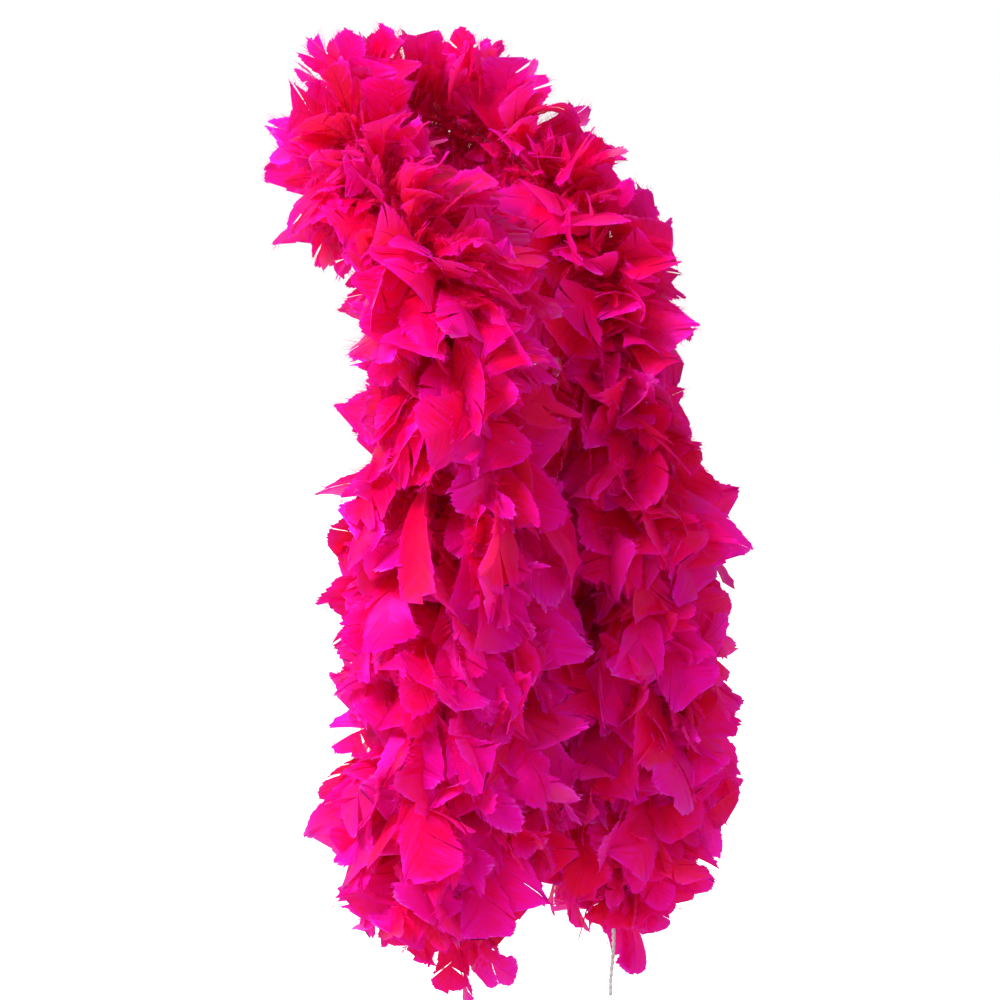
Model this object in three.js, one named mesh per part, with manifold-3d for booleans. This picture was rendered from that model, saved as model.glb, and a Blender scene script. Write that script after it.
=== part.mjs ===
// Feather boa: a twisted string core, worn behind the neck with both ends hanging down
// the chest, and ruffs of broad flat feathers set along the whole string.
//
// Millimetres, +Z up. The origin is the middle of the wearer's neck at the height of the
// string behind it. The wearer faces -Y, so the wearer's right side is -X.
//
// The string is cut into a chain: one neck loop and three lengths in each hanging fall.
// Each fall bends between its lengths, where a small gap in the string lies on the pivot.
// A ruff is the bunch of feathers bound to one stretch of string: a sleeve of feather roots
// round the string, and blades that stand out from it and sag.

import * as THREE from 'three';
import { mergeVertices } from 'three/addons/utils/BufferGeometryUtils.js';
import Module from 'manifold-3d';

// ---- Driving dimensions, mm ------------------------------------------------------------

const NECK_RADIUS = 58;            // the neck that the loop goes round
const FALL_X = 112;                // each fall hangs this far from the middle
const FALL_Y = -150;               // and this far in front of the neck's middle
const PIVOT_Z = -205;              // first pivot, where a fall leaves the chest
const RUFF_PITCH = 65;             // along a fall
const RUFFS_PER_LENGTH = 3;
const NECK_RUFFS = 13;
const LENGTH = RUFF_PITCH * RUFFS_PER_LENGTH;
const END_Z = PIVOT_Z - 3 * LENGTH;

const STRING_R = 2;
const STRING_SIDES = 8;
const STRING_STEP = 12;            // longest facet along a curved string
const ROUTE_STEPS = 2000;          // chords that the string's route is measured with
const PIVOT_GAP = 1;               // string end to pivot, so the ends can tilt
const TOUCH_GAP = 0.3;             // between pieces that meet

const CHEST_REACH = 95;            // feather tip to string, round the neck and on the chest
const WAIST_REACH = 110;           // and on the lower falls, where nothing presses the feathers
const FULLER_FROM = 40;            // below the first pivot, where the reach starts to grow
const FULLER_TO = 190;             // and where it is full
const HANGING_DEPTH = 180;         // below the neck, where the boa hangs free of the shoulders
const SHOULDER_PRESS = 0.35;       // share of the reach that is lost against the shoulders
const CHEST_PRESS = 0.22;          // and against the chest
const HALF_GAP = 6.5;              // blade tip to the plane midway between the falls
const STEEP = 0.2;                 // a blade that points this much at a surface is cut to clear it

const BLADES = 7;
const BLADE_THICK = 1.6;
const BLADE_WIDTH = 46;
const BLADE_TWIST = THREE.MathUtils.degToRad(14);
const BLADE_ROOT_R = 4;
const BLADE_ROOT_WIDTH = 5;
const BLADE_SLIMMEST = 0.5;        // width of a short blade, as a share of its reach
const BLADE_OUTLINE = [            // shares of the length and of the full width
  [0.45, 0.8],
  [0.85, 1],
  [1, 0.55],
];
const SAG = 0.2;                   // tip drop, as a share of the blade's reach
const END_SAG = 0.75;              // the last ruff of a fall hangs like a tassel
const TURN_PER_RUFF = 0.95;        // radians each ruff is turned from the one before
const FIRST_TURN = { right: 4, left: 1 };  // ruff turns at the top of each fall
const BLADE_START = [0, -0.6, 0.8];        // the way a ruff's first blade leans towards

const SLEEVE_LENGTH = 12;
const SLEEVE_R = 6;
const SLEEVE_BORE_R = 3.2;
const SLEEVE_SIDES = 8;

const BINDING_LENGTH = 9;
const BINDING_R = 3.6;
const BINDING_BORE_R = 2.5;
const BINDING_RISE = 2;            // lower edge of the binding above the string's end
const BINDING_SIDES = 12;
const KNOT_R = 5.5;
const KNOT_LENGTH = 11;
const KNOT_END_R = 3.85;
const KNOT_TAPER = 3.3;            // length of the knot's cone at each end
const KNOT_SIDES = 10;
const LEFT_TAIL = 100;
const RIGHT_TAIL = 40;
const TAIL_R = 2.2;

const PINK = 0xe6006f;
const DEEP_PINK = 0xc40058;
const STRING_WHITE = 0xe8e6e2;

const WELD = 1e-4;                 // vertices closer than this are one vertex
const HALVINGS = 40;               // of the search for a height along the route

// ---- The string's route ----------------------------------------------------------------

// From the back of the neck over the wearer's left shoulder to the first pivot.
const SHOULDER_POINTS = [
  [0, 75, 0],
  [60, 60, 0],
  [95, 15, -20],
  [112, -40, -65],
  [117, -100, -115],
  [114, -138, -165],
  [FALL_X, FALL_Y, PIVOT_Z],
];

function neckRoute() {
  const below = [FALL_X, FALL_Y, PIVOT_Z - LENGTH];
  const left = [...SHOULDER_POINTS, below].map((p) => new THREE.Vector3(...p));
  const right = left.slice(1).reverse().map((p) => new THREE.Vector3(-p.x, p.y, p.z));
  return new THREE.CatmullRomCurve3([...right, ...left], false, 'centripetal');
}

// The stretch of a curve between two shares of its length, as a curve of its own.
class Stretch extends THREE.Curve {
  constructor(curve, from, to) {
    super();
    this.curve = curve;
    this.from = from;
    this.to = to;
  }

  getPoint(t, target = new THREE.Vector3()) {
    return this.curve.getPointAt(THREE.MathUtils.lerp(this.from, this.to, t), target);
  }
}

const fallPoint = (side, z) => new THREE.Vector3(side * FALL_X, FALL_Y, z);

// ---- How far feathers reach ------------------------------------------------------------

// Feathers reach furthest on the lower falls, where nothing presses them.
function fullReach(z) {
  const lower = THREE.MathUtils.smoothstep(PIVOT_Z - z, FULLER_FROM, FULLER_TO);
  return THREE.MathUtils.lerp(CHEST_REACH, WAIST_REACH, lower);
}

// Feathers are short where they lie against the neck, the shoulders and the chest,
// and the two falls leave a gap between them.
function reach(place, way) {
  const hanging = THREE.MathUtils.clamp(-place.z / HANGING_DEPTH, 0, 1);
  const toShoulder = Math.max(0, -way.z) * (1 - hanging);
  const toChest = Math.max(0, way.y) * hanging;
  const pressed = (1 - SHOULDER_PRESS * toShoulder) * (1 - CHEST_PRESS * toChest);
  let length = fullReach(place.z) * pressed;
  const fromNeck = Math.hypot(place.x, place.y);
  const toNeck = -(way.x * place.x + way.y * place.y) / fromNeck;
  if (toNeck > STEEP && hanging < 0.5) {
    length = Math.min(length, (fromNeck - NECK_RADIUS) / toNeck);
  }
  const toMiddle = -way.x * Math.sign(place.x);
  if (toMiddle > STEEP && hanging > 0.5) {
    length = Math.min(length, (Math.abs(place.x) - HALF_GAP) / toMiddle);
  }
  return length;
}

// ---- Solids ----------------------------------------------------------------------------

const wasm = await Module();
wasm.setup();

function toSolid(geometry) {
  const plain = geometry.clone();
  plain.deleteAttribute('normal');
  plain.deleteAttribute('uv');
  const merged = mergeVertices(plain, WELD);
  return new wasm.Manifold(new wasm.Mesh({
    numProp: 3,
    vertProperties: merged.attributes.position.array,
    triVerts: new Uint32Array(merged.index.array),
  }));
}

function toGeometry(solid) {
  const mesh = solid.getMesh();
  const geometry = new THREE.BufferGeometry();
  geometry.setAttribute('position', new THREE.BufferAttribute(mesh.vertProperties, 3));
  geometry.setIndex(new THREE.BufferAttribute(mesh.triVerts, 1));
  geometry.computeVertexNormals();
  return geometry;
}

// A closed loft through rings of corners, all with the same number of corners.
function loft(rings) {
  const corners = rings[0].length;
  const positions = rings.flat().flatMap((p) => [p.x, p.y, p.z]);
  const index = [];
  for (let ring = 0; ring + 1 < rings.length; ring += 1) {
    for (let i = 0; i < corners; i += 1) {
      const a = ring * corners + i;
      const b = ring * corners + (i + 1) % corners;
      index.push(a, b, b + corners, a, b + corners, a + corners);
    }
  }
  const last = (rings.length - 1) * corners;
  for (let i = 1; i + 1 < corners; i += 1) {
    index.push(0, i + 1, i);
    index.push(last, last + i, last + i + 1);
  }
  const geometry = new THREE.BufferGeometry();
  geometry.setAttribute('position', new THREE.Float32BufferAttribute(positions, 3));
  geometry.setIndex(index);
  return geometry;
}

// One feather blade: a narrow root in the sleeve, broad towards a blunt tip, sagging.
function blade(place, way, along, sag) {
  const length = reach(place, way);
  const down = new THREE.Vector3(0, 0, -1).addScaledVector(way, way.z);
  const across = new THREE.Vector3().crossVectors(along, way).applyAxisAngle(way, BLADE_TWIST);
  const flat = new THREE.Vector3().crossVectors(way, across).normalize();
  const broad = Math.min(BLADE_WIDTH, BLADE_SLIMMEST * length);
  const widths = BLADE_OUTLINE.map(([share, ofBroad]) => [share, ofBroad * broad]);
  const rings = [[0, BLADE_ROOT_WIDTH], ...widths].map(([share, width]) => {
    const middle = place.clone()
      .addScaledVector(way, THREE.MathUtils.lerp(BLADE_ROOT_R, length, share))
      .addScaledVector(down, sag * length * share * share);
    const edge = (w, h) => middle.clone()
      .addScaledVector(across, w * width / 2)
      .addScaledVector(flat, h * BLADE_THICK / 2);
    return [edge(-1, -1), edge(1, -1), edge(1, 1), edge(-1, 1)];
  });
  return loft(rings);
}

// The sleeve of feather roots, which the string runs through.
function sleeve(place, along) {
  const shape = new THREE.Shape();
  shape.absarc(0, 0, SLEEVE_R, 0, 2 * Math.PI);
  const bore = new THREE.Path();
  bore.absarc(0, 0, SLEEVE_BORE_R, 0, 2 * Math.PI, true);
  shape.holes.push(bore);
  const curveSegments = SLEEVE_SIDES / 2;
  const geometry = new THREE.ExtrudeGeometry(shape, {
    depth: SLEEVE_LENGTH, steps: 1, bevelEnabled: false, curveSegments,
  });
  geometry.translate(0, 0, -SLEEVE_LENGTH / 2);
  geometry.applyQuaternion(new THREE.Quaternion().setFromUnitVectors(new THREE.Vector3(0, 0, 1), along));
  geometry.translate(place.x, place.y, place.z);
  return geometry;
}

function ruff(place, along, number, sag) {
  const start = new THREE.Vector3(...BLADE_START);
  const first = start.addScaledVector(along, -start.dot(along)).normalize();
  let solid = toSolid(sleeve(place, along));
  for (let i = 0; i < BLADES; i += 1) {
    const turn = 2 * Math.PI * i / BLADES + number * TURN_PER_RUFF;
    const way = first.clone().applyAxisAngle(along, turn);
    solid = solid.add(toSolid(blade(place, way, along, sag)));
  }
  return toGeometry(solid);
}

function round(radius, sides) {
  const corners = Array.from({ length: sides }, (_, i) => {
    const angle = 2 * Math.PI * i / sides;
    return new THREE.Vector2(radius * Math.cos(angle), radius * Math.sin(angle));
  });
  return new THREE.Shape(corners);
}

function stringAlong(curve, radius) {
  const steps = Math.max(1, Math.round(curve.getLength() / STRING_STEP));
  return new THREE.ExtrudeGeometry(round(radius, STRING_SIDES), {
    extrudePath: curve, steps, bevelEnabled: false,
  });
}

function stringBetween(side, top, bottom, radius) {
  const line = new THREE.LineCurve3(fallPoint(side, top), fallPoint(side, bottom));
  return new THREE.ExtrudeGeometry(round(radius, STRING_SIDES), {
    extrudePath: line, steps: 1, bevelEnabled: false,
  });
}

// A solid or a ring turned about the fall's line, its profile measured down from its top.
function turned(side, top, profile, sides) {
  const geometry = new THREE.LatheGeometry(profile.map(([r, z]) => new THREE.Vector2(r, z)), sides);
  geometry.rotateX(Math.PI / 2);
  geometry.translate(side * FALL_X, FALL_Y, top);
  return geometry;
}

function knot(side, top) {
  return turned(side, top, [
    [0, -KNOT_LENGTH],
    [KNOT_END_R, -KNOT_LENGTH],
    [KNOT_R, KNOT_TAPER - KNOT_LENGTH],
    [KNOT_R, -KNOT_TAPER],
    [KNOT_END_R, 0],
    [0, 0],
  ], KNOT_SIDES);
}

function binding(side, top) {
  return turned(side, top, [
    [BINDING_BORE_R, -BINDING_LENGTH],
    [BINDING_R, -BINDING_LENGTH],
    [BINDING_R, 0],
    [BINDING_BORE_R, 0],
    [BINDING_BORE_R, -BINDING_LENGTH],
  ], BINDING_SIDES);
}

// ---- The assembly ----------------------------------------------------------------------

const materials = {
  feather: new THREE.MeshStandardMaterial({ color: PINK, roughness: 0.65, metalness: 0 }),
  deepFeather: new THREE.MeshStandardMaterial({ color: DEEP_PINK, roughness: 0.7, metalness: 0 }),
  string: new THREE.MeshStandardMaterial({ color: STRING_WHITE, roughness: 0.9, metalness: 0 }),
};

const boa = new THREE.Group();
boa.name = 'feather_boa';

function addPiece(parent, name, geometry, material) {
  const piece = new THREE.Mesh(geometry, material);
  piece.name = name;
  parent.add(piece);
}

// Alternate ruffs take the two feather colours, so that each shows apart from its neighbours.
const ruffMaterial = (number) => (number % 2 ? materials.feather : materials.deepFeather);

// The share of the route, in its falling second half, at which it passes a height.
function shareAtHeight(curve, z) {
  let low = 0.5;
  let high = 1;
  for (let i = 0; i < HALVINGS; i += 1) {
    const middle = (low + high) / 2;
    if (curve.getPointAt(middle).z > z) low = middle;
    else high = middle;
  }
  return low;
}

function addNeckLoop() {
  const group = new THREE.Group();
  const route = neckRoute();
  route.arcLengthDivisions = ROUTE_STEPS;
  const whole = route.getLength();
  const end = shareAtHeight(route, PIVOT_Z);
  const gap = PIVOT_GAP / whole;
  addPiece(group, 'string_neck', stringAlong(new Stretch(route, 1 - end + gap, end - gap), STRING_R),
    materials.string);
  const inset = RUFF_PITCH / 2 / whole;
  for (let i = 0; i < NECK_RUFFS; i += 1) {
    const share = THREE.MathUtils.lerp(1 - end + inset, end - inset, i / (NECK_RUFFS - 1));
    const solid = ruff(route.getPointAt(share), route.getTangentAt(share), i, SAG);
    addPiece(group, `ruff_neck_${i + 1}`, solid, ruffMaterial(i));
  }
  boa.add(group);
}

function addFall(side, sideName) {
  const down = new THREE.Vector3(0, 0, -1);
  ['upper', 'middle', 'lower'].forEach((part, index) => {
    const group = new THREE.Group();
    const top = PIVOT_Z - index * LENGTH;
    const isLast = part === 'lower';
    const bottom = top - LENGTH;
    const string = stringBetween(side, top - PIVOT_GAP, bottom + (isLast ? 0 : PIVOT_GAP), STRING_R);
    addPiece(group, `string_${sideName}_${part}`, string, materials.string);
    for (let i = 0; i < RUFFS_PER_LENGTH; i += 1) {
      const number = index * RUFFS_PER_LENGTH + i + FIRST_TURN[sideName];
      const sag = isLast && i === RUFFS_PER_LENGTH - 1 ? END_SAG : SAG;
      const place = fallPoint(side, top - RUFF_PITCH * (i + 0.5));
      addPiece(group, `ruff_${sideName}_${part}_${i + 1}`, ruff(place, down, number, sag),
        ruffMaterial(number));
    }
    boa.add(group);
  });
}

function addEnd(side, sideName, tailLength) {
  const group = new THREE.Group();
  const bindingTop = END_Z + BINDING_RISE + BINDING_LENGTH;
  const knotTop = END_Z - TOUCH_GAP;
  const tailTop = knotTop - KNOT_LENGTH - TOUCH_GAP;
  addPiece(group, `binding_${sideName}`, binding(side, bindingTop), materials.string);
  addPiece(group, `knot_${sideName}`, knot(side, knotTop), materials.string);
  addPiece(group, `tail_${sideName}`, stringBetween(side, tailTop, tailTop - tailLength, TAIL_R),
    materials.string);
  boa.add(group);
}

addNeckLoop();
addFall(-1, 'right');
addFall(1, 'left');
addEnd(-1, 'right', RIGHT_TAIL);
addEnd(1, 'left', LEFT_TAIL);

export default boa;
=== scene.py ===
"""Feather boa: nearly two thousand broad flat feathers, with softer ones between them, on a string.

The string's route, the pivots and the ruffs' places are the frame's. Each ruff node of the frame is
replaced by a piece that holds the real feathers of that stretch of string.
"""

import math

import bpy
import numpy as np
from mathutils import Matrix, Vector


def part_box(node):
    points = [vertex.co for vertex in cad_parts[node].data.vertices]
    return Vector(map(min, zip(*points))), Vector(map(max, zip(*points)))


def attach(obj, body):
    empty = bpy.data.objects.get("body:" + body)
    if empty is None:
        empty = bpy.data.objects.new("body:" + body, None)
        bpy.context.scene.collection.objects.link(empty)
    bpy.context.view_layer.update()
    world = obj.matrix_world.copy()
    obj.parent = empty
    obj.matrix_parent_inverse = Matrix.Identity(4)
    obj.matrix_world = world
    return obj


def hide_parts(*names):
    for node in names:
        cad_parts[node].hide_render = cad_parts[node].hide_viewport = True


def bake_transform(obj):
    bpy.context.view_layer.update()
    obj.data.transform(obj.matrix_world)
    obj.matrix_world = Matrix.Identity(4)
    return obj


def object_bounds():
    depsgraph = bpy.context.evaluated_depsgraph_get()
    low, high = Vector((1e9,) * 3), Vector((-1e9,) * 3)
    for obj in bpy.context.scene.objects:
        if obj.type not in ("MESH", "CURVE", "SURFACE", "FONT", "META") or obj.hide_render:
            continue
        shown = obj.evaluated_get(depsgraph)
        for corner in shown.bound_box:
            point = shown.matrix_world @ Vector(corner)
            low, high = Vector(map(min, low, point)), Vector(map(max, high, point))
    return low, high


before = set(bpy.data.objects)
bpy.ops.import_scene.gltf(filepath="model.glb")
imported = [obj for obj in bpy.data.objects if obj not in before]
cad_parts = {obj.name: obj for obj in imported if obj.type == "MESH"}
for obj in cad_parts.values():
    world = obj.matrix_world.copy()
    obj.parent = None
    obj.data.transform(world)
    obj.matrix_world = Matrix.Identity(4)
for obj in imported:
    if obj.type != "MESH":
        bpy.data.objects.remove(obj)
CAD_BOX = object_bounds()

# ---- Sizes, metres ---------------------------------------------------------------------

SIDES = ("right", "left")
PARTS = ("upper", "middle", "lower")

FALL_X = 0.112                    # where the left fall hangs; the right one mirrors it
FALL_Y = -0.150
PIVOT_Z = -0.205                  # height of each fall's first pivot
RUFF_PITCH = 0.065                # length of string that one ruff covers, on the falls
LENGTH = 3 * RUFF_PITCH           # between a fall's pivots
END_Z = PIVOT_Z - 3 * LENGTH      # height of the last quills
NECK_RUFFS = 13
NECK_RADIUS = 0.058
SHOULDER_POINTS = [
    (0, 0.075, 0), (0.060, 0.060, 0), (0.095, 0.015, -0.020), (0.112, -0.040, -0.065),
    (0.117, -0.100, -0.115), (0.114, -0.138, -0.165), (FALL_X, FALL_Y, PIVOT_Z),
    (FALL_X, FALL_Y, PIVOT_Z - LENGTH), (FALL_X, FALL_Y, PIVOT_Z - 2 * LENGTH), (FALL_X, FALL_Y, END_Z),
]

STRING_D = 0.004
TAIL_D = 0.0044
KNOT_D = 0.0042
BINDING_TURNS = 10
THREAD_RADIUS = 0.00052
QUILL_OUT = 0.0018                # from the string's middle to the quills' roots on it

rng = np.random.default_rng(7)            # how the feathers lie
barb_rng = np.random.default_rng(5)       # their loose barbs


# ---- Camera ----------------------------------------------------------------------------

def add_facing(name, data, azimuth, elevation, distance, aim):
    """Adds a camera or a light at a distance from its aim, turned to face it."""
    a, e = math.radians(azimuth), math.radians(elevation)
    away = np.array([math.sin(a) * math.cos(e), -math.cos(a) * math.cos(e), math.sin(e)])
    thing = bpy.data.objects.new(name, data)
    bpy.context.scene.collection.objects.link(thing)
    thing.location = np.array(aim) + distance * away
    thing.rotation_euler = (math.pi / 2 - e, 0, a)
    return thing


def add_camera(azimuth, elevation, distance, width, aim):
    """A camera that sees `width` metres across at its aim."""
    data = bpy.data.cameras.new("camera")
    data.sensor_width = 36
    data.lens = data.sensor_width * distance / width
    bpy.context.scene.camera = add_facing("camera", data, azimuth, elevation, distance, aim)


add_camera(azimuth=-40, elevation=4, distance=3.2, width=1.04, aim=(0.050, -0.042, -0.390))


# ---- Small vector tools ----------------------------------------------------------------

def unit(v):
    return v / np.maximum(np.linalg.norm(v, axis=-1, keepdims=True), 1e-9)


def dot(a, b):
    return (a * b).sum(-1, keepdims=True)


def smoothstep(x, low, high):
    t = np.clip((x - low) / (high - low), 0, 1)
    return t * t * (3 - 2 * t)


def bell(x, middle, width):
    return np.exp(-((x - middle) / width) ** 2)


def between(rows):
    """Values halfway between the neighbours in each row."""
    return 0.5 * (rows[:, 1:] + rows[:, :-1])


# ---- The string's route ----------------------------------------------------------------

def catmull_rom(points, steps=60):
    """A centripetal Catmull-Rom curve through the points, as a polyline."""
    p = np.array(points, float)
    p = np.vstack([2 * p[0] - p[1], p, 2 * p[-1] - p[-2]])
    out = []
    for p0, p1, p2, p3 in zip(p, p[1:], p[2:], p[3:]):
        d0, d1, d2 = (np.linalg.norm(b - a) ** 0.5 for a, b in ((p0, p1), (p1, p2), (p2, p3)))
        m1 = d1 * ((p1 - p0) / d0 - (p2 - p0) / (d0 + d1) + (p2 - p1) / d1)
        m2 = d1 * ((p2 - p1) / d1 - (p3 - p1) / (d1 + d2) + (p3 - p2) / d2)
        square = 3 * (p2 - p1) - 2 * m1 - m2
        cube = 2 * (p1 - p2) + m1 + m2
        t = np.linspace(0, 1, steps, endpoint=False)[:, None]
        out.append(p1 + m1 * t + square * t ** 2 + cube * t ** 3)
    out.append(p[-2][None])
    return np.vstack(out)


class Route:
    """A polyline that is asked for places and directions by distance from its start."""

    def __init__(self, points):
        self.points = np.asarray(points)
        steps = np.linalg.norm(np.diff(self.points, axis=0), axis=1)
        self.at = np.concatenate([[0], np.cumsum(steps)])
        self.length = self.at[-1]

    def place(self, s):
        return np.stack([np.interp(s, self.at, self.points[:, k]) for k in range(3)], -1)

    def along(self, s, step=0.004):
        return unit(self.place(s + step) - self.place(s - step))


def whole_route():
    """From the right end's knot, round behind the neck, to the left end's knot."""
    right = [(-x, y, z) for x, y, z in SHOULDER_POINTS[:0:-1]]
    return Route(catmull_rom(right + SHOULDER_POINTS))


ROUTE = whole_route()
FALL_LENGTH = 3 * LENGTH


def ruff_places():
    """(node, body, distance along the route) of each ruff, from the right end to the left end."""
    places = []
    for side in SIDES:
        for index, part in enumerate(PARTS):
            for i in range(3):
                s = FALL_LENGTH - index * LENGTH - RUFF_PITCH * (i + 0.5)
                s = s if side == "right" else ROUTE.length - s
                places.append((f"ruff_{side}_{part}_{i + 1}", f"{side}_{part}", s))
    first = FALL_LENGTH + RUFF_PITCH / 2
    last = ROUTE.length - first
    for i in range(NECK_RUFFS):
        s = first + (last - first) * i / (NECK_RUFFS - 1)
        places.append((f"ruff_neck_{i + 1}", "neck_loop", s))
    return sorted(places, key=lambda p: p[2])


# ---- How far feathers reach ------------------------------------------------------------

NECK_REACH = 0.086
FALL_REACH = 0.111
LOW_DOWN = (0.25, 0.34)  # depths between which the reach grows from the neck's to a fall's
HANGING_Z = -0.18        # where the string has come to hang straight down
WAIST_Z = -0.235
CHEST_Z = -0.11

# Shares by which the reach grows or shrinks in a direction.
UP_MORE = 0.22           # upwards, round the neck
LEFT_SHOULDER_LESS = 1.2           # times as much, taken off again over the left shoulder
RIGHT_SHOULDER_LESS = 2.2          # and over the right one
LEFT_FRONT_LESS = 0.26   # forwards, over the left shoulder
RIGHT_BACK_LESS = 0.18   # backwards, over the right shoulder
DOWN_LESS = 0.35         # downwards, where the string doesn't hang yet
FALL_BACK_LESS = 0.22    # backwards, on the falls
CHEST_MORE = 0.30        # inwards, at the chest
LEFT_WAIST_LESS = 0.65   # outwards, below the left shoulder
END_LESS = 0.30          # every way, at the boa's ends

STEEP = 0.2              # the least share of a direction that counts as towards something
HALF_GAP = 0.0065        # from the feathers' tips to the plane halfway between the falls
FAR = 9.0                # further than any feather reaches


def free_reach(place, way, hanging):
    """The reach where neither the neck nor the other fall is in a feather's way."""
    z = place[:, 2]
    left = place[:, 0] > 0
    up, down = np.clip(way[:, 2], 0, 1), np.maximum(0, -way[:, 2])
    back, front = np.maximum(0, way[:, 1]), np.maximum(0, -way[:, 1])
    outward = way[:, 0] * np.sign(place[:, 0])
    low_down = smoothstep(-z, *LOW_DOWN)
    shoulder = np.where(left, LEFT_SHOULDER_LESS, RIGHT_SHOULDER_LESS)
    shoulder = shoulder * smoothstep(np.abs(place[:, 0]), 0.03, 0.09)
    left_front = LEFT_FRONT_LESS * front * smoothstep(-z, 0, 0.06) * (1 - low_down)
    right_back = RIGHT_BACK_LESS * back * (1 - hanging)
    waist = np.where(left, LEFT_WAIST_LESS, 0.0) * np.clip(outward, 0, 1) * bell(z, WAIST_Z, 0.05)
    full = NECK_REACH + (FALL_REACH - NECK_REACH) * low_down
    full = full * (1 + UP_MORE * up * (1 - shoulder))
    full = full * np.where(left, 1 - left_front, 1 - right_back)
    full = full * (1 - DOWN_LESS * down * (1 - hanging))
    full = full * (1 - FALL_BACK_LESS * back * hanging)
    full = full * (1 + CHEST_MORE * np.clip(-outward, 0, 1) * bell(z, CHEST_Z, 0.06))
    return full * (1 - waist) * (1 - END_LESS + END_LESS * smoothstep(z - END_Z, 0, 0.06))


def room(toward, gap, there):
    """How far a feather may stand out towards something a gap away, where it is there at all."""
    return np.where((toward > STEEP) & there, gap / np.maximum(toward, STEEP), FAR)


def reach(place, way):
    """How far a feather stands out from the string at place, towards way."""
    hanging = np.clip(place[:, 2] / HANGING_Z, 0, 1)
    from_neck = np.hypot(place[:, 0], place[:, 1])
    to_neck = -(way[:, 0] * place[:, 0] + way[:, 1] * place[:, 1]) / from_neck
    near_neck = room(to_neck, from_neck - NECK_RADIUS, hanging < 0.5)
    to_middle = -way[:, 0] * np.sign(place[:, 0])
    near_middle = room(to_middle, np.abs(place[:, 0]) - HALF_GAP, hanging > 0.5)
    return np.minimum(free_reach(place, way, hanging), np.minimum(near_neck, near_middle))


# ---- One mesh from many parts ----------------------------------------------------------

PRESS_FROM = 0.011       # how far past the frame's box tips start to be pressed in
PRESS_BAND = 0.009       # how much further they may get


def pressed_in(verts):
    """Presses in the few tips that stand too far past the frame's box."""
    low, high = (np.array(c) for c in CAD_BOX)
    low, high = low - PRESS_FROM, high + PRESS_FROM
    over = np.maximum(verts - high, 0) - np.maximum(low - verts, 0)
    return np.clip(verts, low, high) + PRESS_BAND * np.tanh(over / PRESS_BAND)


class Sheaf:
    """Vertices, faces and per-vertex values gathered for one mesh."""

    def __init__(self):
        self.verts, self.faces, self.along, self.tint, self.quill, self.uv = [], [], [], [], [], []
        self.count = 0

    def add(self, verts, faces, along, tint, quill, uv):
        """verts (F, V, 3) of F copies; faces is a few arrays (Q, 4) or (Q, 3) of one copy."""
        copies, size = verts.shape[:2]
        starts = self.count + size * np.arange(copies)[:, None, None]
        for group in faces:
            self.faces.append((starts + group).reshape(-1, group.shape[1]))
        self.verts.append(verts.reshape(-1, 3))
        self.along.append(np.broadcast_to(along, (copies, size)).reshape(-1))
        self.tint.append(np.broadcast_to(tint, (copies, size)).reshape(-1))
        self.quill.append(np.broadcast_to(quill, (copies, size)).reshape(-1))
        self.uv.append(np.broadcast_to(uv, (copies, size, 2)).reshape(-1, 2))
        self.count += copies * size

    def mesh(self, name):
        mesh = bpy.data.meshes.new(name)
        verts = pressed_in(np.concatenate(self.verts)).astype(np.float32)
        mesh.vertices.add(len(verts))
        mesh.vertices.foreach_set("co", verts.ravel())
        quads = [f for f in self.faces if f.shape[1] == 4]
        tris = [f for f in self.faces if f.shape[1] == 3]
        corners = np.concatenate([f.ravel() for f in quads + tris]).astype(np.int32)
        sizes = np.concatenate([np.full(len(f), f.shape[1]) for f in quads + tris])
        starts = np.concatenate([[0], np.cumsum(sizes)[:-1]]).astype(np.int32)
        mesh.loops.add(len(corners))
        mesh.polygons.add(len(sizes))
        mesh.loops.foreach_set("vertex_index", corners)
        mesh.polygons.foreach_set("loop_start", starts)
        mesh.update(calc_edges=True)
        mesh.polygons.foreach_set("use_smooth", np.ones(len(sizes), bool))
        for label, values in (("along", self.along), ("tint", self.tint), ("quill", self.quill)):
            layer = mesh.attributes.new(label, "FLOAT", "POINT")
            layer.data.foreach_set("value", np.concatenate(values).astype(np.float32))
        uv = np.concatenate(self.uv).astype(np.float32)
        mesh.uv_layers.new(name="barbs").data.foreach_set("uv", uv[corners].ravel())
        return mesh


def add_object(name, mesh, material):
    mesh.materials.append(material)
    piece = bpy.data.objects.new(name, mesh)
    bpy.context.scene.collection.objects.link(piece)
    return piece


# ---- Feathers --------------------------------------------------------------------------

STRAIGHT = 0.22          # share of a feather's length before it starts to bend
LOCKS = 3                # groups of barbs down each side of a vane
SHOULDER = 0.62          # share of a web's barbs that end on its side; the others end on the tip
WEB_FROM = 0.26          # share of the length where the web's first barb leaves the shaft
WEB_TO = 0.95            # and where its last one does
WEB_EDGE_FROM = 0.36     # where the web's outer edge starts
WEB_BASE = 0.30          # share of the width at the web's first barb
CURLS_FROM = 0.55        # share of the width where a web's edge starts to curl
CRUMPLE = 0.10           # of the half width
FRINGE_FROM = 0.90       # share of the barb where a loose one leaves the web
FRINGE_HALF = 0.0035     # half the width of a loose barb's root, as a share of the web's barbs
MOST_BENT = 0.62         # least share of its length that a feather is taken to stand out
ROOM = 0.010             # how far past the frame's box a feather may stand
LONGEST_LOCK = 1.05      # of the feather's length
WIDEST_LOCK = 1.10       # of the feather's half width
TINY = 1e-6

RIGHT_END_SLOPE = 1.05   # how steeply the boa's ends draw in to the string
LEFT_END_SLOPE = 0.85
RIGHT_END_DEPTH = 0.100  # how far feathers hang below the last quills
LEFT_END_DEPTH = 0.085

TIPS_STAND_ABOVE = -0.035     # slim feathers stand up where the string is above this height
TIPS_HANG_WITHIN = 0.035      # and hang down this near to the boa's ends


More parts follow.
